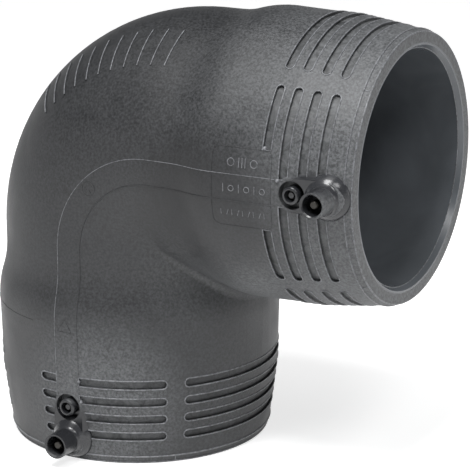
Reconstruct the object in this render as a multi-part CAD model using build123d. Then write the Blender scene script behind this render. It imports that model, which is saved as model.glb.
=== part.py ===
from build123d import *
from math import cos, radians, sin, tan
import os

# Electrofusion elbow for a 110 mm pipe, in millimetres, +Z up. The lower socket opens
# downwards and the upper one towards +X. The origin is the centre of the lower mouth, and both
# terminals face -Y, the front. A depth is measured from a mouth, along that socket's axis.
# Whatever a socket carries is modelled on the lower one and turned to the upper one.

# Sockets
pipe_diameter = 110.0
pipe_clearance = 0.4          # radial play round the pipe
socket_depth = 68.0           # mouth to pipe stop
socket_wall = 13.6            # thickest, level with the pipe stop
land_step = 1.0               # radius lost from the pipe stop to the land's front end
land_front = 34.0             # depth where the land ends and the long taper begins
rim_wall = 7.3                # from the bore to the outside, at the mouth
rim_chamfer_length = 3.6
rim_chamfer_height = 1.4
lead_in_width = 1.5
lead_in_length = 2.4

# Bend
axis_to_mouth = 147.0
bend_wall = 15.8
pipe_stop = 6.4               # radial width of the shoulder that the pipe meets
neck_length = 27.0            # from the socket's greatest radius down to the bend's
bend_radius = 42.7            # centre line of the outer sweep
passage_radius = 57.0         # centre line of the passage inside
crotch_fillet = 4.0
crotch_start = 18.0           # how near the axes the crotch's rounding begins
crotch_root = 30.0            # how near the axes the crotch piece itself begins
crotch_reach = 100.0          # how far the crotch piece runs along each leg

# Fine ribs across the outer shoulder of the bend, on the front
rib_count = 11
rib_first = 0.3               # degrees round the bend from the upper leg
rib_pitch = 4.75
rib_low = 45.2                # degrees round the tube from the front
rib_high = 66.0
rib_width = 0.7
rib_height = 0.3
rib_root = 0.5                # below the surface

# Recessed slots over each heating coil, in fields round the socket
slot_rows = 4
slot_fields = 4
slot_first = 14.2             # depth of the first row
slot_pitch = 8.9
slot_width = 4.4
slot_recess = 1.2
slot_flat = 0.2               # left between the two roundings at a slot's end
slot_gap = 7.2                # degrees between two fields
label_edge = 13.2             # degrees from the front, where a label area cuts the lower slots

# Plain places on the front, where no slot is cut: the bridge band and the upper marking pad
band_width = 12.4
pad_depth = 38.0
pad_length = 29.5
pad_width = 36.6

# Boss that carries a terminal and its fusion indicator
terminal_depth = 11.3
indicator_pitch = 16.1
boss_rise = 2.9               # above the surface at the terminal
boss_sink = 6.0               # length of the boss, most of it inside the wall
boss_terminal_radius = 8.0
boss_indicator_radius = 7.6
boss_draft = 28.0             # degrees

# Terminal shroud, and the pin in it
shroud_radius = 6.0
shroud_draft = 0.4            # added to the radius at its foot
shroud_wall = 1.2
shroud_length = 12.1
shroud_floor = 1.0            # above the boss face
shroud_lip = 0.5
pin_radius = 2.0
pin_recess = 2.0              # tip below the shroud's end
pin_chamfer = 0.5
pin_collar_width = 1.2
pin_collar_height = 1.6

# Fusion indicator, a pin in a tube that stands in a round well
well_radius = 6.5
well_recess = 4.2
tube_radius = 4.15
tube_rise = 1.6               # above the boss face
tube_root = 1.0               # below the floor of the well
tube_round = 1.0
tube_wall = 1.35
tube_bore_depth = 6.6
indicator_play = 0.3
indicator_stem_radius = 1.3
indicator_foot_height = 2.2
indicator_recess = 1.5        # tip below the tube's end

# Heating wire, wound in one length through both sockets
wire_size = 1.2               # side of its square section
wire_cover = 1.0              # plastic between the wire and the bore
wire_root = 0.4               # how far the pins reach past the wire
coil_turns = 8
coil_pitch = 4.1
coil_step = 16.0              # degrees in which a turn steps to the next
coil_gap = 1.0                # degrees left open at the end of the last turn
bridge_sink = 0.3             # how much nearer the bore the bridge lies

cut_margin = 10.0             # how far cutters run beyond a socket's side

# Sizes that follow
bore_radius = pipe_diameter / 2 + pipe_clearance
socket_radius = bore_radius + socket_wall
land_radius = socket_radius - land_step
rim_radius = bore_radius + rim_wall
taper_radius = rim_radius + rim_chamfer_height
passage_bore = bore_radius - pipe_stop
bend_outer = passage_bore + bend_wall
neck_end = socket_depth + neck_length
leg_length = axis_to_mouth - bend_radius
clear = socket_radius + cut_margin


def surface_radius(depth):
    """Outer radius of a socket between its rim chamfer and the front of its land."""
    share = (depth - rim_chamfer_length) / (land_front - rim_chamfer_length)
    return taper_radius + share * (land_radius - taper_radius)


def slot_surface(depth):
    """Outer radius under the slots, some of which lie on the land."""
    if depth < land_front:
        return surface_radius(depth)
    return land_radius + (depth - land_front) * land_step / (socket_depth - land_front)


boss_face = surface_radius(terminal_depth) + boss_rise
indicator_depth = terminal_depth + indicator_pitch
shroud_end = boss_face + shroud_length
tube_end = boss_face + tube_rise
tube_floor = tube_end - tube_bore_depth
tube_bore = tube_radius - tube_wall
wire_inner = bore_radius + wire_cover
pin_root = wire_inner - wire_root


def to_upper(solid):
    """Turn a quarter about Y, from the lower socket to the upper one."""
    return Pos(axis_to_mouth, 0, axis_to_mouth) * Rot(0, -90, 0) * solid


def turned(points_and_curves):
    """Solid of revolution about +Z from an outline in x and z."""
    return revolve(Plane.XZ * make_face(points_and_curves), axis=Axis.Z)


def front(depth, reach):
    """Plane at a distance in front of the socket's axis, whose normal points to the front."""
    return Plane(origin=(0, -reach, depth), x_dir=(1, 0, 0), z_dir=(0, -1, 0))


def front_rod(depth, radius, near, far):
    """Cylinder towards the front, between two distances from the socket's axis."""
    return extrude(front(depth, near) * Circle(radius), amount=far - near)


def leg_outside(top):
    """Outer form of the lower socket and its neck, up to the height top."""
    neck_middle = ((socket_radius + bend_outer) / 2, socket_depth + neck_length / 2)
    return turned([
        Line((0, 0), (rim_radius, 0)),
        Line((rim_radius, 0), (taper_radius, rim_chamfer_length)),
        Line((taper_radius, rim_chamfer_length), (land_radius, land_front)),
        Line((land_radius, land_front), (socket_radius, socket_depth)),
        TangentArc((socket_radius, socket_depth), neck_middle, tangent=(0, 1)),
        TangentArc((bend_outer, neck_end), neck_middle, tangent=(0, -1)),
        Line((bend_outer, neck_end), (bend_outer, top)),
        Line((bend_outer, top), (0, top)),
        Line((0, top), (0, 0)),
    ])


def leg_inside():
    """Bore for the pipe, its stop, and the passage up to the bend."""
    return turned(Polyline(
        (0, 0),
        (bore_radius + lead_in_width, 0),
        (bore_radius, lead_in_length),
        (bore_radius, socket_depth),
        (passage_bore, socket_depth),
        (passage_bore, axis_to_mouth - passage_radius),
        (0, axis_to_mouth - passage_radius),
        close=True,
    ))


def swept_bend(section_radius, centre_radius):
    """Quarter bend whose centre line is tangent to both sockets' axes."""
    height = axis_to_mouth - centre_radius
    section = Circle(section_radius)
    if section_radius > centre_radius:
        beyond = Rectangle(2 * section_radius, 3 * section_radius)
        section -= Pos(centre_radius + section_radius, 0) * beyond
    hinge = Axis((centre_radius, 0, height), (0, 1, 0))
    start = Plane(origin=(0, 0, height), x_dir=(1, 0, 0), z_dir=(0, 0, 1))
    return revolve(start * section, axis=hinge, revolution_arc=90)


def crotch():
    """Inner corner where the legs meet, rounded along its valley."""
    leg = leg_outside(axis_to_mouth)
    legs = leg + to_upper(leg)
    side = crotch_reach - crotch_start
    triangle = Polyline(
        (crotch_reach, axis_to_mouth - crotch_start + side),
        (crotch_reach, axis_to_mouth - crotch_reach),
        (crotch_start - side, axis_to_mouth - crotch_reach),
        close=True,
    )
    corner = legs & extrude(Plane.XZ * make_face(triangle), amount=clear, both=True)
    valley = []
    for edge in corner.edges():
        ends = (edge @ 0, edge @ 0.5, edge @ 1)
        on_diagonal = all(abs(p.X + p.Z - axis_to_mouth) < 0.001 for p in ends)
        if on_diagonal and ends[1].X > crotch_start:
            valley.append(edge)
    side = crotch_reach - crotch_root
    centre = crotch_root + side / 2
    inner_side = Pos(centre, 0, axis_to_mouth - centre) * Box(side, 2 * clear, side)
    return fillet(valley, crotch_fillet) & inner_side


def outside():
    """Outer form, without slots and terminals. The legs, bend and crotch are joined at once."""
    leg = leg_outside(leg_length)
    return leg.fuse(to_upper(leg), swept_bend(bend_outer, bend_radius), crotch())


def ribs():
    """Fine ribs, each in a plane through the hinge of the bend."""
    solids = []
    for number in range(rib_count):
        around = radians(90 + rib_first + number * rib_pitch)
        out = (cos(around), 0, sin(around))
        centre = (bend_radius * (1 + out[0]), 0, leg_length + bend_radius * out[2])
        plane = Plane(origin=centre, x_dir=out, z_dir=(out[2], 0, -out[0]))
        radii = (bend_outer - rib_root, bend_outer + rib_height)
        arcs = [CenterArc((0, 0), radius, 90 - rib_high, rib_high - rib_low) for radius in radii]
        sides = [Line(arcs[0] @ end, arcs[1] @ end) for end in (0, 1)]
        solids.append(extrude(plane * make_face(arcs + sides), amount=rib_width / 2, both=True))
    return solids


def passages():
    """Cutters for the way through, from the lower mouth to the upper one."""
    leg = leg_inside()
    return leg, to_upper(leg), swept_bend(passage_bore, passage_radius)


def slot(depth, start, end):
    """Cutter for one slot with round ends, from one angle to another about the socket.

    Angles are degrees from the front, towards the outside of the bend.
    """
    half = slot_width / 2
    low = slot_surface(depth - half)
    high = slot_surface(depth + half)
    section = make_face(Polyline(
        (low - slot_recess, depth - half),
        (high - slot_recess, depth + half),
        (clear, depth + half),
        (clear, depth - half),
        close=True,
    ))
    blank = revolve(Plane.XZ * section, axis=Axis.Z, revolution_arc=end - start)
    corners = blank.edges().filter_by(lambda edge: abs((edge @ 0).Z - (edge @ 1).Z) < 0.001)
    corners = corners.filter_by(GeomType.LINE)
    return Rot(0, 0, -90 - end) * fillet(corners, half - slot_flat / 2)


def slots(front_end, pad):
    """All slots of the lower socket, left whole where the band and the pad cross them."""
    field = 360 / slot_fields
    half_span = (field - slot_gap) / 2
    bar = Pos(0, -clear / 2, clear) * Box(band_width, clear, 2 * clear)
    cutters = []
    for row in range(slot_rows):
        depth = slot_first + row * slot_pitch
        for number in range(slot_fields):
            centre = number * field
            end = min(centre + half_span, front_end) if number == 0 else centre + half_span
            cutter = slot(depth, centre - half_span, end)
            if number == 0:
                cutter -= bar
                if pad:
                    height = pad_depth + pad_length / 2
                    cutter -= Pos(0, -clear / 2, height) * Box(pad_width, clear, pad_length)
            cutters += cutter.solids()
    return cutters


def boss():
    """Drafted boss under the shroud and the indicator."""
    outlines = []
    for sink in (0, boss_sink):
        grow = sink * tan(radians(boss_draft))
        terminal = Pos(0, terminal_depth) * Circle(boss_terminal_radius + grow)
        indicator = Pos(0, indicator_depth) * Circle(boss_indicator_radius + grow)
        hull = make_hull(terminal.edges() + indicator.edges())
        outlines.append(front(0, boss_face - sink) * hull)
    return loft(outlines, ruled=True)


def shroud():
    """Tapered tube round the terminal pin, open to the front."""
    foot = front(terminal_depth, boss_face - boss_sink / 2) * Circle(shroud_radius + shroud_draft)
    end = front(terminal_depth, shroud_end) * Circle(shroud_radius)
    return loft([foot, end], ruled=True)


def shroud_hollow():
    bore = shroud_radius - shroud_wall
    hollow = front_rod(terminal_depth, bore, boss_face + shroud_floor, shroud_end)
    mouth = hollow.faces().sort_by(Axis.Y)[0]
    lip = loft([mouth, front(terminal_depth, shroud_end + shroud_lip) * Circle(bore + shroud_lip)])
    return hollow + Pos(0, shroud_lip, 0) * lip


def indicator_tube():
    tube = front_rod(indicator_depth, tube_radius, boss_face - well_recess - tube_root, tube_end)
    return fillet(tube.edges().sort_by(Axis.Y)[0], tube_round)


def add_terminal(body, place):
    """Boss, shroud and indicator well on one socket; place puts them on it."""
    body = body + place(boss()) + place(shroud())
    well = front_rod(indicator_depth, well_radius, boss_face - well_recess, boss_face + tube_rise)
    body = body - place(well) + place(indicator_tube())
    body -= place(front_rod(indicator_depth, tube_bore, tube_floor, tube_end))
    body -= place(shroud_hollow())
    return body - place(front_rod(terminal_depth, pin_radius, pin_root, shroud_end))


def elbow_body(wire):
    """The moulded fitting, one piece, with a channel where the wire is moulded in."""
    body = outside() + ribs() - wire
    body -= slots(label_edge, pad=False)
    body -= [to_upper(cutter) for cutter in slots(slot_fields * 360, pad=True)]
    for place in (lambda solid: solid, to_upper):
        body = add_terminal(body, place)
    for cutter in passages():
        body -= cutter
    return body


def terminal_pin():
    """Brass pin: a shank that meets the wire's end, and a collar on the shroud's floor."""
    shank = front_rod(terminal_depth, pin_radius, pin_root, shroud_end - pin_recess)
    shank = chamfer(shank.edges().sort_by(Axis.Y)[0], pin_chamfer)
    floor = boss_face + shroud_floor
    radius = pin_radius + pin_collar_width
    return shank + front_rod(terminal_depth, radius, floor, floor + pin_collar_height)


def fusion_indicator():
    """Plastic pin that rises when the joint is welded; its foot rests in the tube's bore."""
    foot_end = tube_floor + indicator_foot_height
    foot = front_rod(indicator_depth, tube_bore - indicator_play, tube_floor, foot_end)
    stem_end = tube_end - indicator_recess
    return foot + front_rod(indicator_depth, indicator_stem_radius, foot_end, stem_end)


def wire_section(depth):
    """Square section of the wire where it lies on the +X side of the socket's axis."""
    section = Pos(wire_inner + wire_size / 2, depth) * Rectangle(wire_size, wire_size)
    return Plane.XZ * section


def coil():
    """Winding in the lower socket: level turns, each stepping to the next just before the front."""
    wire = None
    for turn in range(coil_turns):
        depth = terminal_depth + turn * coil_pitch
        last = turn == coil_turns - 1
        arc = 360 - (coil_gap if last else coil_step)
        level = Rot(0, 0, -90) * revolve(wire_section(depth), axis=Axis.Z, revolution_arc=arc)
        wire = level if wire is None else wire + level
        if not last:
            from_section = Rot(0, 0, -90 - coil_step) * wire_section(depth)
            to_section = Rot(0, 0, -90) * wire_section(depth + coil_pitch)
            wire += loft([from_section, to_section], ruled=True)
    return wire


def bridge():
    """Wire from one winding to the other, along the front of the bend."""
    half = wire_size / 2
    inner = bend_radius - half
    outer = bend_radius + half
    start = terminal_depth + (coil_turns - 1) * coil_pitch - half
    end = axis_to_mouth - start
    outline = Curve() + [
        Line((-half, start), (half, start)),
        Line((half, start), (half, leg_length)),
        RadiusArc((half, leg_length), (bend_radius, leg_length + inner), inner),
        Line((bend_radius, leg_length + inner), (end, leg_length + inner)),
        Line((end, leg_length + inner), (end, leg_length + outer)),
        Line((end, leg_length + outer), (bend_radius, leg_length + outer)),
        RadiusArc((bend_radius, leg_length + outer), (-half, leg_length), -outer),
        Line((-half, leg_length), (-half, start)),
    ]
    return extrude(front(0, wire_inner - bridge_sink) * make_face(outline), amount=wire_size)


def wire_run():
    """The wire's whole run, before its ends are cut to the pins."""
    winding = coil()
    return winding + bridge() + to_upper(winding)


def heating_wire(wire):
    """Resistance wire in one length, with its ends against the two pins."""
    shank = front_rod(terminal_depth, pin_radius, pin_root, boss_face)
    return wire - shank - to_upper(shank)


parts = {
    "elbow_body": elbow_body(wire_run()),
    "heating_wire": heating_wire(wire_run()),
    "terminal_pin_lower": terminal_pin(),
    "terminal_pin_upper": to_upper(terminal_pin()),
    "fusion_indicator_lower": fusion_indicator(),
    "fusion_indicator_upper": to_upper(fusion_indicator()),
}
os.makedirs("parts", exist_ok=True)
for name, solid in parts.items():
    export_step(solid, f"parts/{name}.step")
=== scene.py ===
import math

import bpy
from mathutils import Matrix, Vector


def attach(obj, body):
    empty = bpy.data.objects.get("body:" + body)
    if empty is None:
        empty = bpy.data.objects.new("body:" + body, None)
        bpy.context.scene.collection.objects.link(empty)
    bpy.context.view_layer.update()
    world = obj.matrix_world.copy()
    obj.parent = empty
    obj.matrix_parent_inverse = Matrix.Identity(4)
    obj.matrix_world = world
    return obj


# Electrofusion elbow for 110 mm pipe: one black polyethylene moulding with a contact pin and a
# fusion indicator on each socket. Lengths are in millimetres until they go into a mesh or a
# node, and the studio's are in metres.

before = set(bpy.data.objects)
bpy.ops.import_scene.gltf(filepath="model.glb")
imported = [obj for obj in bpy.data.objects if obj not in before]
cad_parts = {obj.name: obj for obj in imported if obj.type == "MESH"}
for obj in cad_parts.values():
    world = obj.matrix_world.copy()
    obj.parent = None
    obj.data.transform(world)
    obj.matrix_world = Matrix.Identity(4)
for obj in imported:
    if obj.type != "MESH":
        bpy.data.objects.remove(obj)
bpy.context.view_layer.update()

MM = 0.001

# The moulding's own sizes, as the solids have them. The slots' half span, the edge of the label
# area, and the ribs' pitch and ends are degrees round the front or the bend.
AXIS_TO_MOUTH = 147.0
RIM_RADIUS = 62.7
TAPER_RADIUS = 64.1
CHAMFER_DEPTH = 3.6
LAND_RADIUS = 68.0
LAND_DEPTH = 34.0
CREST_RADIUS = 69.0
CREST_DEPTH = 68.0
NECK_DEPTH = 95.0
BEND_RADIUS = 42.7
BEND_TUBE = 64.8
BORE_RADIUS = 55.4
LEAD_IN = 2.4
SLOT_DEPTHS = (14.2, 23.1, 32.0, 40.9)
SLOT_HALF_WIDTH = 2.2
SLOT_HALF_SPAN = 41.4
LABEL_EDGE = 13.2
NO_LABEL = 360
BAND_HALF_WIDTH = 6.2
PAD_DEPTH = 38.0
PAD_LENGTH = 29.5
PAD_HALF_WIDTH = 18.3
TERMINAL_DEPTH = 11.3
BOSS_DEPTH = 19.0
BOSS_REACH = 73.0
PARTING_DEPTH = 67.3
RIB_COUNT = 11
RIB_PITCH = 4.75
RIB_ENDS = (45.4, 65.8)

# Raised detail: how far a band line lies from the middle, half the width of each kind of line,
# and a flare's profile as distance from the pin's axis and height above the socket
BAND_LINE = 6.1
HALF_WIDTH = {
    "band_inner": 0.28, "band_outer": 0.17, "lip": 0.36, "edge": 0.42, "lead_in": 0.24,
    "crest": 0.32, "tick": 0.3, "parting_line": 0.16, "ring": 0.22, "bar": 0.24, "fine": 0.2,
}
FLARE_PROFILE = (
    (5.6, 5.6), (6.25, 5.5), (6.6, 4.5), (7.3, 3.75), (8.3, 3.1), (9.2, 2.25), (10.0, 1.25),
    (10.7, 0.2), (10.9, -0.8), (5.6, -0.8),
)

# Zones of another tone on the body: each one's centre, and the distances where it is full and
# where it is gone. The sheens are painted highlights, the band's zone is painted shade and the
# inner bend's is painted reflected light. The bores, painted pale for light inside them, have them
# as radii and depths, the upper sheen as depths where it is gone and full, and the slots' floors as
# depths and how far they are sunk.
LOWER_PAINTED_SHEEN_ZONE = ((14, -64, 30), 14, 54)
UPPER_PAINTED_SHEEN_DEPTHS = (105, 6)
BAND_PAINTED_SHADE_ZONE = ((78, -66, 133), 18, 50)
INNER_BEND_PAINTED_LIGHT_ZONE = ((70, -48, 101), 12, 44)
BOSS_ZONE = (11, 15)
CORE_RADII = (BORE_RADIUS + 2.2, BORE_RADIUS + 2.5)
CORE_DEPTHS = (96, 100)
FLOORS_START = (8, 9)
FLOORS_END = (45, 46)
FLOORS_SUNK = (0.9, 0.6)

# Studio, with its lengths in metres
SWEEP_RADIUS = 3.2
SWEEP_DROP = 0.0002
SWEEP_GLOW = 0.73
LAMP_AIM = Vector((0.05, 0, 0.1))
LAMP_DISTANCE = 1.3


def sweep_radius(depth):
    """Outer radius of a socket or neck at a depth from its mouth."""
    if depth < CHAMFER_DEPTH:
        return RIM_RADIUS + (TAPER_RADIUS - RIM_RADIUS) * depth / CHAMFER_DEPTH
    if depth < LAND_DEPTH:
        share = (depth - CHAMFER_DEPTH) / (LAND_DEPTH - CHAMFER_DEPTH)
        return TAPER_RADIUS + (LAND_RADIUS - TAPER_RADIUS) * share
    if depth < CREST_DEPTH:
        share = (depth - LAND_DEPTH) / (CREST_DEPTH - LAND_DEPTH)
        return LAND_RADIUS + (CREST_RADIUS - LAND_RADIUS) * share
    if depth > NECK_DEPTH:
        return BEND_TUBE
    drop = CREST_RADIUS - BEND_TUBE
    length = NECK_DEPTH - CREST_DEPTH
    arc = (drop * drop + length * length) / (4 * drop)
    into = min(depth - CREST_DEPTH, NECK_DEPTH - depth)
    fall = arc - math.sqrt(arc * arc - into * into)
    if depth - CREST_DEPTH < length / 2:
        return CREST_RADIUS - fall
    return BEND_TUBE + fall


def on_lower(depth, angle, lift=0.0):
    """Point on the lower socket: degrees from the front, towards the outside of the bend."""
    radius = sweep_radius(depth) + lift
    turn = math.radians(angle)
    return Vector((-radius * math.sin(turn), -radius * math.cos(turn), depth))


def on_upper(depth, angle, lift=0.0):
    """The same on the upper socket."""
    low = on_lower(depth, angle, lift)
    return Vector((AXIS_TO_MOUTH - low.z, low.y, AXIS_TO_MOUTH - low.x))


def on_bend(turn, angle, lift=0.0):
    """Point on the bend: degrees of turn from the upper neck, degrees from the front outwards."""
    around = math.radians(angle)
    out = BEND_RADIUS + (BEND_TUBE + lift) * math.sin(around)
    way = math.radians(90 + turn)
    x = BEND_RADIUS + out * math.cos(way)
    z = AXIS_TO_MOUTH - BEND_RADIUS + out * math.sin(way)
    return Vector((x, -(BEND_TUBE + lift) * math.cos(around), z))


def spread(start, end, count):
    """Evenly spaced values from start to end."""
    return [start + (end - start) * i / (count - 1) for i in range(count)]


ALL_ROUND = spread(0, 358, 180)


# Colours and nodes

def linear(hex_colour):
    """sRGB hex, such as 2B2C2E, as linear RGBA."""
    channels = [int(hex_colour[i:i + 2], 16) / 255 for i in (0, 2, 4)]
    curve = [c / 12.92 if c <= 0.04045 else ((c + 0.055) / 1.055) ** 2.4 for c in channels]
    return (*curve, 1.0)


def node(tree, kind, settings=None, **links):
    """Add a node; settings are its properties, and links its inputs as values or sockets."""
    new = tree.nodes.new(kind)
    for key, value in (settings or {}).items():
        setattr(new, key, value)
    for key, value in links.items():
        name = key.replace("_", " ")
        socket = new.inputs[int(key[2:])] if key.startswith("in") else new.inputs[name]
        if isinstance(value, bpy.types.NodeSocket):
            tree.links.new(value, socket)
        else:
            socket.default_value = value
    return new


def new_material(name):
    """Empty node material, and its tree."""
    material = bpy.data.materials.new(name)
    material.use_nodes = True
    material.node_tree.nodes.clear()
    return material, material.node_tree


def shade(tree, factor, start, end, dark, light):
    """Tone that goes from one colour to another while a pattern goes from start to end."""
    share = node(tree, "ShaderNodeMapRange", Value=factor, From_Min=start, From_Max=end)
    return node(
        tree, "ShaderNodeMix", {"data_type": "RGBA"}, Factor=share.outputs["Result"],
        in6=linear(dark), in7=linear(light),
    ).outputs[2]


def within(tree, place, centre, full, gone, keep=(1, 1, 1)):
    """Share near a point, from the millimetres where it is full to where it is gone.

    keep drops one direction, so that the point becomes an axis.
    """
    moved = node(
        tree, "ShaderNodeVectorMath", {"operation": "SUBTRACT"}, in0=place,
        in1=tuple(v * MM for v in centre),
    ).outputs[0]
    kept = node(
        tree, "ShaderNodeVectorMath", {"operation": "MULTIPLY"}, in0=moved, in1=keep
    ).outputs[0]
    distance = node(
        tree, "ShaderNodeVectorMath", {"operation": "LENGTH"}, in0=kept
    ).outputs["Value"]
    return node(
        tree, "ShaderNodeMapRange", {"interpolation_type": "SMOOTHSTEP"}, Value=distance,
        From_Min=full * MM, From_Max=gone * MM, To_Min=1.0, To_Max=0.0,
    ).outputs["Result"]


def beyond(tree, place, direction, gone, full):
    """Share along a direction, from the millimetres where it is gone to where it is full."""
    along = node(
        tree, "ShaderNodeVectorMath", {"operation": "DOT_PRODUCT"}, in0=place, in1=direction,
    ).outputs["Value"]
    return node(
        tree, "ShaderNodeMapRange", {"interpolation_type": "SMOOTHSTEP"}, Value=along,
        From_Min=gone * MM, From_Max=full * MM,
    ).outputs["Result"]


def slot_floors(tree, place, mouth, across, inwards):
    """Share that marks the floors of one socket's slots, by depth and distance from its axis.

    A floor is what lies well under the tapered surface, between the first slot and the last.
    """
    moved = node(
        tree, "ShaderNodeVectorMath", {"operation": "SUBTRACT"}, in0=place,
        in1=tuple(v * MM for v in mouth),
    ).outputs[0]
    depth = node(
        tree, "ShaderNodeVectorMath", {"operation": "DOT_PRODUCT"}, in0=moved, in1=inwards
    ).outputs["Value"]
    flat = node(
        tree, "ShaderNodeVectorMath", {"operation": "MULTIPLY"}, in0=moved, in1=across
    ).outputs[0]
    radius = node(
        tree, "ShaderNodeVectorMath", {"operation": "LENGTH"}, in0=flat
    ).outputs["Value"]
    slope = (LAND_RADIUS - TAPER_RADIUS) / (LAND_DEPTH - CHAMFER_DEPTH)
    capped = node(
        tree, "ShaderNodeMath", {"operation": "MINIMUM"}, in0=depth, in1=(LAND_DEPTH + 1) * MM
    ).outputs[0]
    taper = node(
        tree, "ShaderNodeMath", {"operation": "MULTIPLY"}, in0=capped, in1=slope
    ).outputs[0]
    level = node(
        tree, "ShaderNodeMath", {"operation": "SUBTRACT"}, in0=radius, in1=taper
    ).outputs[0]
    surface = TAPER_RADIUS - CHAMFER_DEPTH * slope
    sunk = node(
        tree, "ShaderNodeMapRange", Value=level, From_Min=(surface - FLOORS_SUNK[0]) * MM,
        From_Max=(surface - FLOORS_SUNK[1]) * MM, To_Min=1.0, To_Max=0.0,
    ).outputs["Result"]
    rows = node(
        tree, "ShaderNodeMapRange", Value=depth, From_Min=FLOORS_START[0] * MM,
        From_Max=FLOORS_START[1] * MM,
    ).outputs["Result"]
    ends = node(
        tree, "ShaderNodeMapRange", Value=depth, From_Min=FLOORS_END[0] * MM,
        From_Max=FLOORS_END[1] * MM, To_Min=1.0, To_Max=0.0,
    ).outputs["Result"]
    inside = node(
        tree, "ShaderNodeMath", {"operation": "MULTIPLY"}, in0=rows, in1=ends
    ).outputs[0]
    return node(
        tree, "ShaderNodeMath", {"operation": "MULTIPLY"}, in0=sunk, in1=inside
    ).outputs[0]


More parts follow.
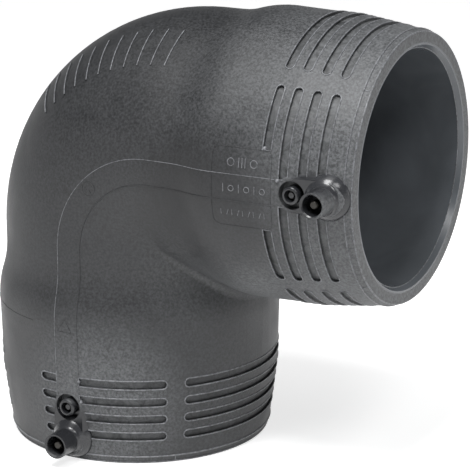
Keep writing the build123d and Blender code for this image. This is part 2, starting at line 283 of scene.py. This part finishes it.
def moulded_polyethylene():
    """Carbon-black polyethylene, injection moulded.

    It is satin, with the eroded tool's fine grain over the outside. Painted highlights make it
    paler on the lower socket's front and along the upper socket towards its mouth, painted
    reflected light makes it paler under the upper leg by the inner bend, and painted shade makes it
    darker beside the band. The bores are plain, smooth and a pale bluish grey, painted so for light
    falling inside them, and the bosses are glossy, where the tool was polished.
    """
    material, tree = new_material("moulded_black_polyethylene")
    place = node(tree, "ShaderNodeTexCoord").outputs["Object"]

    # The tool's real grain, of about 0.15 mm, is too fine to show: it is drawn at 0.6 mm, a
    # little over one pixel, and its specks at 1.2 mm.
    grain_mm = 0.6
    speck_mm = 1.2
    streak_mm = 5.0
    cloud_mm = 26.0

    # Where the finishes, and the painted light and shade, lie
    gone, full = (AXIS_TO_MOUTH - depth for depth in UPPER_PAINTED_SHEEN_DEPTHS)
    painted_sheen = node(
        tree, "ShaderNodeMath", {"operation": "MAXIMUM"},
        in0=within(tree, place, *LOWER_PAINTED_SHEEN_ZONE),
        in1=beyond(tree, place, (1, 0, 0), gone, full),
    ).outputs[0]
    full, gone = CORE_DEPTHS
    lower_bore = node(
        tree, "ShaderNodeMath", {"operation": "MULTIPLY"},
        in0=within(tree, place, (0, 0, 0), *CORE_RADII, keep=(1, 1, 0)),
        in1=beyond(tree, place, (0, 0, -1), -gone, -full),
    ).outputs[0]
    upper_bore = node(
        tree, "ShaderNodeMath", {"operation": "MULTIPLY"},
        in0=within(tree, place, (0, 0, AXIS_TO_MOUTH), *CORE_RADII, keep=(0, 1, 1)),
        in1=beyond(tree, place, (1, 0, 0), AXIS_TO_MOUTH - gone, AXIS_TO_MOUTH - full),
    ).outputs[0]
    bores = node(
        tree, "ShaderNodeMath", {"operation": "MAXIMUM"}, in0=lower_bore, in1=upper_bore
    ).outputs[0]
    lower_boss = (0, -BOSS_REACH, BOSS_DEPTH)
    upper_boss = (AXIS_TO_MOUTH - BOSS_DEPTH, -BOSS_REACH, AXIS_TO_MOUTH)
    bosses = node(
        tree, "ShaderNodeMath", {"operation": "MAXIMUM"},
        in0=within(tree, place, lower_boss, *BOSS_ZONE),
        in1=within(tree, place, upper_boss, *BOSS_ZONE),
    ).outputs[0]
    plain = node(
        tree, "ShaderNodeMath", {"operation": "MAXIMUM"}, in0=bores, in1=bosses
    ).outputs[0]
    # Painted shade: the front beside the band is darkened where the light falls off
    band = within(tree, place, *BAND_PAINTED_SHADE_ZONE)
    # Painted reflected light: the upper leg's underside by the inner bend is lightened
    painted_inner_bend_light = within(tree, place, *INNER_BEND_PAINTED_LIGHT_ZONE)
    floors = node(
        tree, "ShaderNodeMath", {"operation": "MAXIMUM"},
        in0=slot_floors(tree, place, (0, 0, 0), (1, 1, 0), (0, 0, 1)),
        in1=slot_floors(tree, place, (AXIS_TO_MOUTH, 0, AXIS_TO_MOUTH), (0, 1, 1), (-1, 0, 0)),
    ).outputs[0]

    # Patterns
    grain = node(
        tree, "ShaderNodeTexNoise", Vector=place, Scale=1 / (grain_mm * MM), Detail=2.0,
        Roughness=0.6,
    ).outputs["Fac"]
    speck = node(
        tree, "ShaderNodeTexNoise", Vector=place, Scale=1 / (speck_mm * MM), Detail=3.0,
        Roughness=0.65,
    ).outputs["Fac"]
    streaks = node(
        tree, "ShaderNodeTexNoise", Vector=place, Scale=1 / (streak_mm * MM), Detail=4.0,
        Roughness=0.7, Distortion=1.2,
    ).outputs["Fac"]
    cloud = node(
        tree, "ShaderNodeTexNoise", Vector=place, Scale=1 / (cloud_mm * MM), Detail=3.0,
        Roughness=0.55, Distortion=0.6,
    ).outputs["Fac"]

    # Colour
    tone = shade(tree, cloud, 0.36, 0.66, "242526", "323334")
    mottle = shade(tree, speck, 0.36, 0.66, "17181A", "4C4D50")
    colour = node(
        tree, "ShaderNodeMix", {"data_type": "RGBA"}, Factor=0.5, in6=tone, in7=mottle
    ).outputs[2]
    floor_tone = shade(tree, streaks, 0.36, 0.64, "1F2021", "3A3B3D")
    colour = node(
        tree, "ShaderNodeMix", {"data_type": "RGBA"}, Factor=floors, in6=colour, in7=floor_tone
    ).outputs[2]
    # Painted light and shade: the sheen's highlight and the inner bend's reflected light multiply
    # the colour paler, and the band's painted shade multiplies it darker
    for zone, times in (
        (painted_sheen, (3.4, 3.4, 3.32, 1.0)), (band, (0.35, 0.35, 0.36, 1.0)),
        (painted_inner_bend_light, (2.2, 2.2, 2.15, 1.0)),
    ):
        colour = node(
            tree, "ShaderNodeMix", {"data_type": "RGBA", "blend_type": "MULTIPLY"}, Factor=zone,
            in6=colour, in7=times,
        ).outputs[2]
    # The bores are painted a pale bluish grey, standing in for light falling inside them; the
    # bosses keep their own darker tone
    painted_bore_light = shade(tree, cloud, 0.35, 0.65, "606468", "6B6F74")
    for zone, other in ((bosses, linear("2A2B2E")), (bores, painted_bore_light)):
        colour = node(
            tree, "ShaderNodeMix", {"data_type": "RGBA"}, Factor=zone, in6=colour, in7=other
        ).outputs[2]

    # Gloss and relief
    satin = node(
        tree, "ShaderNodeMapRange", Value=cloud, From_Min=0.3, From_Max=0.7, To_Min=0.46,
        To_Max=0.6,
    ).outputs["Result"]
    speckled = node(
        tree, "ShaderNodeMapRange", Value=speck, From_Min=0.3, From_Max=0.7, To_Min=-0.07,
        To_Max=0.07,
    ).outputs["Result"]
    satin = node(
        tree, "ShaderNodeMath", {"operation": "ADD"}, in0=satin, in1=speckled
    ).outputs[0]
    rough = node(tree, "ShaderNodeMix", Factor=plain, in2=satin, in3=0.25).outputs[0]
    relief = node(tree, "ShaderNodeMix", Factor=plain, in2=0.5, in3=0.06).outputs[0]
    fine = node(tree, "ShaderNodeBump", Strength=relief, Distance=0.07 * MM, Height=grain)
    coarse = node(
        tree, "ShaderNodeBump", Strength=relief, Distance=0.16 * MM, Height=speck,
        Normal=fine.outputs[0],
    )
    shader = node(
        tree, "ShaderNodeBsdfPrincipled", Base_Color=colour, Roughness=rough, IOR=1.51,
        Normal=coarse.outputs[0],
    )
    node(tree, "ShaderNodeOutputMaterial", Surface=shader.outputs[0])
    return material


def painted_highlight_polyethylene():
    """The same black polyethylene where it stands proud on crests and lips, coloured pale and
    glossier as a painted highlight, so that they show as thin bright lines."""
    material, tree = new_material("burnished_black_polyethylene")
    place = node(tree, "ShaderNodeTexCoord").outputs["Object"]
    glint_noise_mm = 1.6
    glint_noise = node(
        tree, "ShaderNodeTexNoise", Vector=place, Scale=1 / (glint_noise_mm * MM), Detail=3.0, Roughness=0.7
    ).outputs["Fac"]
    # Pale tone: a painted highlight on the raised lines
    colour = shade(tree, glint_noise, 0.36, 0.64, "57585B", "8C8E92")
    rough = node(
        tree, "ShaderNodeMapRange", Value=glint_noise, From_Min=0.3, From_Max=0.7, To_Min=0.4, To_Max=0.26
    ).outputs["Result"]
    bump = node(tree, "ShaderNodeBump", Strength=0.25, Distance=0.05 * MM, Height=glint_noise)
    shader = node(
        tree, "ShaderNodeBsdfPrincipled", Base_Color=colour, Roughness=rough, IOR=1.51,
        Normal=bump.outputs[0],
    )
    node(tree, "ShaderNodeOutputMaterial", Surface=shader.outputs[0])
    return material


def tinned_brass():
    """Turned brass pin with a thin tin plate, dull from handling: grey, with fine turning marks."""
    material, tree = new_material("turned_tinned_brass")
    place = node(tree, "ShaderNodeTexCoord").outputs["Object"]

    # A wave repeats about every 0.31 of its unit, so the marks are 0.11 mm apart
    wave_mm = 0.35
    marks = node(
        tree, "ShaderNodeTexWave", {"bands_direction": "Y"}, Vector=place,
        Scale=1 / (wave_mm * MM), Distortion=1.5, Detail=2.0,
    ).outputs["Fac"]
    colour = shade(tree, marks, 0.2, 0.9, "3A3937", "55534F")
    bump = node(tree, "ShaderNodeBump", Strength=0.2, Distance=0.02 * MM, Height=marks)
    shader = node(
        tree, "ShaderNodeBsdfPrincipled", Base_Color=colour, Metallic=1.0, Roughness=0.36,
        Normal=bump.outputs[0],
    )
    node(tree, "ShaderNodeOutputMaterial", Surface=shader.outputs[0])
    return material


def indicator_plastic():
    """Smooth unfilled polyethylene, a little greyer and glossier than the moulding.

    The indicators are made of it, and the flares at the shrouds, polished by the tool, look
    like it.
    """
    material, tree = new_material("smooth_grey_polyethylene")
    place = node(tree, "ShaderNodeTexCoord").outputs["Object"]
    grain_mm = 0.5
    grain = node(
        tree, "ShaderNodeTexNoise", Vector=place, Scale=1 / (grain_mm * MM), Detail=2.0
    ).outputs["Fac"]
    colour = shade(tree, grain, 0.3, 0.7, "2E2F32", "3C3D40")
    bump = node(tree, "ShaderNodeBump", Strength=0.15, Distance=0.02 * MM, Height=grain)
    shader = node(
        tree, "ShaderNodeBsdfPrincipled", Base_Color=colour, Roughness=0.22, IOR=1.51,
        Normal=bump.outputs[0],
    )
    node(tree, "ShaderNodeOutputMaterial", Surface=shader.outputs[0])
    return material


def drawn_resistance_wire():
    """Drawn copper-nickel wire, hidden in the wall: warm grey metal with a fine mottle."""
    material, tree = new_material("drawn_resistance_wire")
    place = node(tree, "ShaderNodeTexCoord").outputs["Object"]
    mottle_mm = 0.4
    mottle = node(
        tree, "ShaderNodeTexNoise", Vector=place, Scale=1 / (mottle_mm * MM), Detail=2.0
    ).outputs["Fac"]
    colour = shade(tree, mottle, 0.3, 0.7, "8A7666", "A5917E")
    shader = node(tree, "ShaderNodeBsdfPrincipled", Base_Color=colour, Metallic=1.0, Roughness=0.4)
    node(tree, "ShaderNodeOutputMaterial", Surface=shader.outputs[0])
    return material


# Raised lines, marks and flares, moulded with the body

def raised_line(name, points, radius, closed=False):
    """Half-sunk moulded line along points on the surface, as one closed tube."""
    curve = bpy.data.curves.new(name, "CURVE")
    curve.dimensions = "3D"
    curve.bevel_depth = radius * MM
    curve.bevel_resolution = 1
    curve.use_fill_caps = True
    spline = curve.splines.new("POLY")
    spline.points.add(len(points) - 1)
    for target, point in zip(spline.points, points):
        target.co = (*(point * MM), 1.0)
    spline.use_cyclic_u = closed
    line = bpy.data.objects.new(name, curve)
    bpy.context.collection.objects.link(line)
    bpy.ops.object.select_all(action="DESELECT")
    line.select_set(True)
    bpy.context.view_layer.objects.active = line
    bpy.ops.object.convert(target="MESH")
    bpy.ops.object.shade_smooth()
    return line


def join(name, pieces):
    """One object from several, named."""
    bpy.ops.object.select_all(action="DESELECT")
    for piece in pieces:
        piece.select_set(True)
    bpy.context.view_layer.objects.active = pieces[0]
    bpy.ops.object.join()
    joined = bpy.context.object
    joined.name = name
    return joined


def socket_point(place, along, across, lift=0.0):
    """Point on a socket's front at a depth and a straight distance across, outwards positive."""
    angle = math.degrees(math.asin(across / sweep_radius(along)))
    return place(along, angle, lift)


def band_line(name, across):
    """Fine line along one edge of the band over the hidden wire, from one boss to the other."""
    points = [socket_point(on_upper, depth, across) for depth in spread(36, 104, 35)]
    angle = math.degrees(math.asin(across / BEND_TUBE))
    points += [on_bend(turn, angle) for turn in spread(2, 88, 30)]
    points += [socket_point(on_lower, depth, across) for depth in spread(104, 36, 35)]
    return raised_line(name, points, HALF_WIDTH[name])


def slot_runs(label_edge, pad):
    """Slots over one coil: depth, start and end in degrees from the front, and round ends.

    They are left whole where the band, the pad or a label area crosses them.
    """
    runs = []
    for depth in SLOT_DEPTHS:
        for number in range(4):
            start = 90 * number - SLOT_HALF_SPAN
            end = 90 * number + SLOT_HALF_SPAN
            if number:
                runs.append((depth, start, end, True, True))
                continue
            half_width = PAD_HALF_WIDTH if pad and depth > PAD_DEPTH else BAND_HALF_WIDTH
            edge = math.degrees(math.asin(half_width / sweep_radius(depth)))
            runs.append((depth, start, -edge, True, False))
            last = min(end, label_edge)
            if last > edge + 2:
                runs.append((depth, edge, last, False, True))
    return runs


def slot_lips(name, place, label_edge, pad):
    """Rounded lips along the edges of one socket's slots."""
    lips = []
    for depth, start, end, round_start, round_end in slot_runs(label_edge, pad):
        turn = math.degrees(SLOT_HALF_WIDTH / sweep_radius(depth))
        outline = []
        for side, first, last in ((1, start, end), (-1, end, start)):
            first_round = round_start if side == 1 else round_end
            last_round = round_end if side == 1 else round_start
            first += side * turn * first_round
            last -= side * turn * last_round
            for angle in spread(first, last, 26):
                outline.append((depth + side * SLOT_HALF_WIDTH, angle))
            if last_round:
                for step in (30, 60, 90, 120, 150):
                    across = side * turn * math.sin(math.radians(step))
                    along = side * SLOT_HALF_WIDTH * math.cos(math.radians(step))
                    outline.append((depth + along, last + across))
        points = [place(along, angle) for along, angle in outline]
        lips.append(raised_line("lip", points, HALF_WIDTH["lip"], closed=True))
    return join(name, lips)


def shroud_flare(place, name):
    """Flare from a terminal's shroud down into the socket, as a closed ring round its foot."""
    vertices = []
    turns = 64
    for i in range(turns):
        way = 2 * math.pi * i / turns
        for reach, rise in FLARE_PROFILE:
            vertices.append(socket_point(
                place, TERMINAL_DEPTH + reach * math.cos(way), reach * math.sin(way), rise
            ) * MM)
    faces = []
    count = len(FLARE_PROFILE)
    for i in range(turns):
        for j in range(count):
            k = (j + 1) % count
            n = (i + 1) % turns
            faces.append((i * count + j, i * count + k, n * count + k, n * count + j))
    mesh = bpy.data.meshes.new(name)
    mesh.from_pydata(vertices, [], faces)
    flare = bpy.data.objects.new(name, mesh)
    bpy.context.collection.objects.link(flare)
    bpy.ops.object.select_all(action="DESELECT")
    flare.select_set(True)
    bpy.context.view_layer.objects.active = flare
    bpy.ops.object.mode_set(mode="EDIT")
    bpy.ops.mesh.select_all(action="SELECT")
    bpy.ops.mesh.normals_make_consistent(inside=False)
    bpy.ops.object.mode_set(mode="OBJECT")
    bpy.ops.object.shade_smooth_by_angle(angle=math.radians(35))
    return flare


def rib_crests():
    """Raised crests along the ribs on the outer shoulder of the bend."""
    crests = []
    for number in range(RIB_COUNT):
        turn = 0.3 + RIB_PITCH * number
        points = [on_bend(turn, angle, 0.22) for angle in spread(*RIB_ENDS, 14)]
        crests.append(raised_line("crest", points, HALF_WIDTH["crest"]))
    return join("rib_crests", crests)


def rim_edges():
    """Softened edges of both rims: two round the chamfer outside and two round the lead-in."""
    rings = []
    for place in (on_lower, on_upper):
        for depth in (0.45, CHAMFER_DEPTH):
            ring = [place(depth, angle) for angle in ALL_ROUND]
            rings.append(raised_line("edge", ring, HALF_WIDTH["edge"], closed=True))
        for depth, radius in ((0.2, BORE_RADIUS + LEAD_IN), (LEAD_IN, BORE_RADIUS)):
            lift = radius - sweep_radius(depth)
            ring = [place(depth, angle, lift) for angle in ALL_ROUND]
            rings.append(raised_line("lead_in", ring, HALF_WIDTH["lead_in"], closed=True))
    return join("rim_edges", rings)


def nub(place, depth, angle, radius):
    """Small round nub, left by the tool's ejector."""
    bpy.ops.object.select_all(action="DESELECT")
    bpy.ops.mesh.primitive_uv_sphere_add(
        segments=16, ring_count=8, radius=radius * MM, location=place(depth, angle) * MM
    )
    bpy.ops.object.transform_apply(location=True, rotation=True, scale=True)
    bpy.ops.object.shade_smooth()
    return bpy.context.object


def small_nubs():
    """Nubs beside the bosses and at the pad's corner, and short ticks on the rims."""
    pieces = [
        nub(on_upper, 34.6, 4.8, 0.9), nub(on_lower, 30.9, -5.9, 0.9),
        nub(on_lower, 41.1, -5.4, 0.8), nub(on_upper, 42.0, 16.2, 1.0),
    ]
    for place in (on_lower, on_upper):
        for angle in (-45.3, 45.3, 134.7, 225.3):
            tick = [place(depth, angle) for depth in (0.2, 1.0, 2.0, 3.2)]
            pieces.append(raised_line("tick", tick, HALF_WIDTH["tick"]))
        tick = [place(depth, 0) for depth in (1.4, 2.3, 3.2)]
        pieces.append(raised_line("tick", tick, HALF_WIDTH["tick"]))
    return join("small_nubs", pieces)


def parting_line():
    """Witness of the tool's joint round the lower socket's crest, outside the bend."""
    points = [on_lower(PARTING_DEPTH, angle) for angle in spread(17, 180, 60)]
    return raised_line("parting_line", points, HALF_WIDTH["parting_line"])


def mark_ring(place, depth, across, radius, half_width=HALF_WIDTH["ring"], count=20):
    """Small raised ring on a socket's front."""
    points = []
    for step in range(count):
        turn = 2 * math.pi * step / count
        along = depth + radius * math.cos(turn)
        points.append(socket_point(place, along, across + radius * math.sin(turn)))
    return raised_line("ring", points, half_width, closed=True)


def mark_bar(place, start, end, half_width=HALF_WIDTH["bar"]):
    """Small raised bar between two places, each a depth and a distance across."""
    points = [
        socket_point(place, *(a + (b - a) * share for a, b in zip(start, end)))
        for share in (0, 0.25, 0.5, 0.75, 1)
    ]
    return raised_line("bar", points, half_width)


def pad_marks():
    """Plain rings and bars in three rows on the upper pad, where size marks usually go."""
    marks = []

    # Upper row: a ring at each end and three bars between them
    for depth in (58, 46.5):
        marks.append(mark_ring(on_upper, depth, 11.6, 1.7))
    for depth in (54, 52.4, 50.8):
        marks.append(mark_bar(on_upper, (depth, 9.4), (depth, 13.8)))

    # Middle row: bars and rings by turns
    for number in range(6):
        depth = 61.5 - 3.9 * number
        if number % 2:
            marks.append(mark_ring(on_upper, depth, -0.3, 1.3, HALF_WIDTH["fine"], 14))
        else:
            marks.append(mark_bar(on_upper, (depth, -2.2), (depth, 1.7)))

    # Lower row: short bars, every second one slanted
    for number in range(9):
        depth = 63 - 2.7 * number
        end = (depth - 1.1 * (number % 2), -10.4)
        marks.append(mark_bar(on_upper, (depth, -13), end, HALF_WIDTH["fine"]))
    return join("pad_marks", marks)


def pad_edge():
    """Low edge round the pad, rounded at its corners."""
    half_length = PAD_LENGTH / 2
    middle = PAD_DEPTH + half_length
    corner = 3.5
    points = []
    for sign_a, sign_b, start in ((1, 1, 0), (-1, 1, 90), (-1, -1, 180), (1, -1, 270)):
        for step in range(5):
            turn = math.radians(start + 22.5 * step)
            depth = middle + sign_a * (half_length - corner) + corner * math.cos(turn)
            across = sign_b * (PAD_HALF_WIDTH - corner) + corner * math.sin(turn)
            points.append((depth, across))
    filled = []
    for (a, b), (c, d) in zip(points, points[1:] + points[:1]):
        steps = max(1, int(math.hypot(c - a, d - b) / 2.5))
        filled += [(a + (c - a) * i / steps, b + (d - b) * i / steps) for i in range(steps)]
    edge = [socket_point(on_upper, along, across) for along, across in filled]
    return raised_line("pad_edge", edge, HALF_WIDTH["fine"], closed=True)


def bend_mark():
    """Plain round mark low on the bend's front, a ring with four short bars."""
    centre = (11.8, 135.6)
    radius = 3.4
    pieces = []

    def at(dx, dz):
        x = centre[0] + dx
        z = centre[1] + dz
        out = math.hypot(x - BEND_RADIUS, z - (AXIS_TO_MOUTH - BEND_RADIUS)) - BEND_RADIUS
        return Vector((x, -math.sqrt(BEND_TUBE ** 2 - out ** 2), z))

    ring = [
        at(radius * math.cos(turn), radius * math.sin(turn))
        for turn in spread(0, 2 * math.pi * 23 / 24, 24)
    ]
    pieces.append(raised_line("mark_ring", ring, HALF_WIDTH["fine"], closed=True))
    for number in range(4):
        turn = math.pi / 2 * number + 0.6
        bar = [at(s * math.cos(turn), s * math.sin(turn)) for s in (0.9, 1.5, 2.3)]
        pieces.append(raised_line("mark_bar", bar, HALF_WIDTH["fine"]))
    return join("bend_mark", pieces)


def arrow_mark():
    """Small triangle on the lower socket, beside the band."""
    corners = [(71.1, 0.3), (65.0, -3.2), (65.0, 4.7)]
    points = []
    for (a, b), (c, d) in zip(corners, corners[1:] + corners[:1]):
        points += [(a + (c - a) * i / 4, b + (d - b) * i / 4) for i in range(4)]
    edge = [socket_point(on_lower, along, across) for along, across in points]
    return raised_line("arrow_mark", edge, HALF_WIDTH["fine"], closed=True)


# Stage, lights and camera

def white_sweep():
    """Round studio floor that curves up at its far edge. It keeps the object's shadow, and is
    white to the camera, in reflections and through glass."""
    bpy.ops.object.select_all(action="DESELECT")
    bpy.ops.mesh.primitive_circle_add(
        vertices=128, radius=SWEEP_RADIUS, fill_type="NGON", location=(0, 0, -SWEEP_DROP)
    )
    sweep = bpy.context.object
    sweep.name = "floor"
    bpy.ops.object.mode_set(mode="EDIT")
    bpy.ops.mesh.select_all(action="SELECT")
    bpy.ops.mesh.region_to_loop()
    curl = ((1.06, 0.03), (1.05, 0.09), (1.04, 0.16), (1.02, 0.24), (1.01, 0.3))
    for outwards, upwards in curl:
        bpy.ops.mesh.extrude_edges_move()
        bpy.ops.transform.resize(value=(outwards, outwards, 1))
        bpy.ops.transform.translate(value=(0, 0, upwards))
    bpy.ops.object.mode_set(mode="OBJECT")
    bpy.ops.object.shade_smooth()
    material, tree = new_material("white_studio_sweep")
    path = node(tree, "ShaderNodeLightPath")
    seen = path.outputs["Is Camera Ray"]
    for other in ("Is Glossy Ray", "Is Transmission Ray"):
        seen = node(
            tree, "ShaderNodeMath", {"operation": "ADD", "use_clamp": True},
            in0=seen, in1=path.outputs[other],
        ).outputs[0]
    glow = node(
        tree, "ShaderNodeMath", {"operation": "MULTIPLY"}, in0=seen, in1=SWEEP_GLOW
    ).outputs[0]
    diffuse = node(tree, "ShaderNodeBsdfDiffuse", Color=linear("E8E8E8"))
    white = node(tree, "ShaderNodeEmission", Strength=glow)
    lit = node(tree, "ShaderNodeAddShader", in0=diffuse.outputs[0], in1=white.outputs[0])
    node(tree, "ShaderNodeOutputMaterial", Surface=lit.outputs[0])
    sweep.data.materials.append(material)


def studio_world():
    """Dim pale surround."""
    world = bpy.data.worlds.new("studio")
    bpy.context.scene.world = world
    world.use_nodes = True
    tree = world.node_tree
    tree.nodes.clear()
    surround = node(tree, "ShaderNodeBackground", Color=linear("F2F4F7"), Strength=0.05)
    node(tree, "ShaderNodeOutputWorld", Surface=surround.outputs[0])


def direction_at(azimuth, elevation):
    """Unit vector at degrees from the front, -Y, towards +X, and degrees upwards."""
    azimuth = math.radians(azimuth)
    elevation = math.radians(elevation)
    return Vector((
        math.sin(azimuth) * math.cos(elevation), -math.cos(azimuth) * math.cos(elevation),
        math.sin(elevation),
    ))


def softbox(name, direction, size, watts):
    """Rectangular area lamp aimed at the object from an azimuth and elevation, in degrees."""
    away = direction_at(*direction)
    data = bpy.data.lights.new(name, "AREA")
    data.shape = "RECTANGLE"
    data.size, data.size_y = size
    data.energy = watts
    lamp = bpy.data.objects.new(name, data)
    bpy.context.collection.objects.link(lamp)
    lamp.location = LAMP_AIM + LAMP_DISTANCE * away
    lamp.rotation_euler = away.to_track_quat("Z", "Y").to_euler()


def studio_camera():
    """Camera solved from the photo: direction, roll, distance and lens."""
    azimuth = 28.91
    elevation = 16.13
    roll = math.radians(-0.245)
    aim = Vector((53.62, 0, 102.55))
    distance = 1201.8
    back = direction_at(azimuth, elevation)
    level = Vector((math.cos(math.radians(azimuth)), math.sin(math.radians(azimuth)), 0))
    upright = back.cross(level)
    right = math.cos(roll) * level + math.sin(roll) * upright
    up = -math.sin(roll) * level + math.cos(roll) * upright
    data = bpy.data.cameras.new("camera")
    data.sensor_fit = "HORIZONTAL"
    data.sensor_width = 36
    data.lens = 191.57
    data.clip_start = 0.05
    data.clip_end = 20
    camera = bpy.data.objects.new("camera", data)
    bpy.context.collection.objects.link(camera)
    turned = Matrix((right, up, back)).transposed().to_4x4()
    camera.matrix_world = Matrix.Translation((aim + back * distance) * MM) @ turned
    bpy.context.scene.camera = camera


# Dress the solids

body_finish = moulded_polyethylene()
brass = tinned_brass()
indicator = indicator_plastic()
wire = drawn_resistance_wire()
finishes = {
    "elbow_body": body_finish,
    "heating_wire": wire,
    "terminal_pin_lower": brass,
    "terminal_pin_upper": brass,
    "fusion_indicator_lower": indicator,
    "fusion_indicator_upper": indicator,
}
for name, finish in finishes.items():
    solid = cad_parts[name]
    for slot in solid.material_slots:
        slot.material = finish

# Fine moulded lines, marks and flares

burnished = painted_highlight_polyethylene()
trim = (
    (body_finish, [
        band_line("band_inner", -BAND_LINE), parting_line(), pad_edge(), bend_mark(),
        arrow_mark(),
    ]),
    # Painted highlights: the outer band line, rib crests, rim edges, nubs, pad marks and slot lips
    # are coloured pale for the light they catch
    (burnished, [
        band_line("band_outer", BAND_LINE), rib_crests(), rim_edges(), small_nubs(),
        pad_marks(), slot_lips("slot_lips_lower", on_lower, LABEL_EDGE, False),
        slot_lips("slot_lips_upper", on_upper, NO_LABEL, True),
    ]),
    (indicator, [
        join("shroud_flares", [
            shroud_flare(on_lower, "flare_lower"), shroud_flare(on_upper, "flare_upper"),
        ]),
    ]),
)
for finish, pieces in trim:
    for piece in pieces:
        piece.data.materials.clear()
        piece.data.materials.append(finish)
        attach(piece, "root")

# Studio

white_sweep()
studio_world()
softbox("front_high", (0, 65), (0.5, 0.5), 14)
softbox("overhead", (0, 88), (0.6, 0.6), 2)
softbox("front_left", (-10, 40), (0.5, 0.5), 1)
softbox("left_high", (-60, 65), (0.6, 0.6), 0.5)
softbox("right", (56, 50), (0.4, 0.4), 4.5)
softbox("right_low", (110, 12), (0.5, 0.4), 1.5)
softbox("front_low", (15, 2), (0.35, 0.2), 0.3)
studio_camera()
bpy.context.scene.view_settings.view_transform = "Standard"
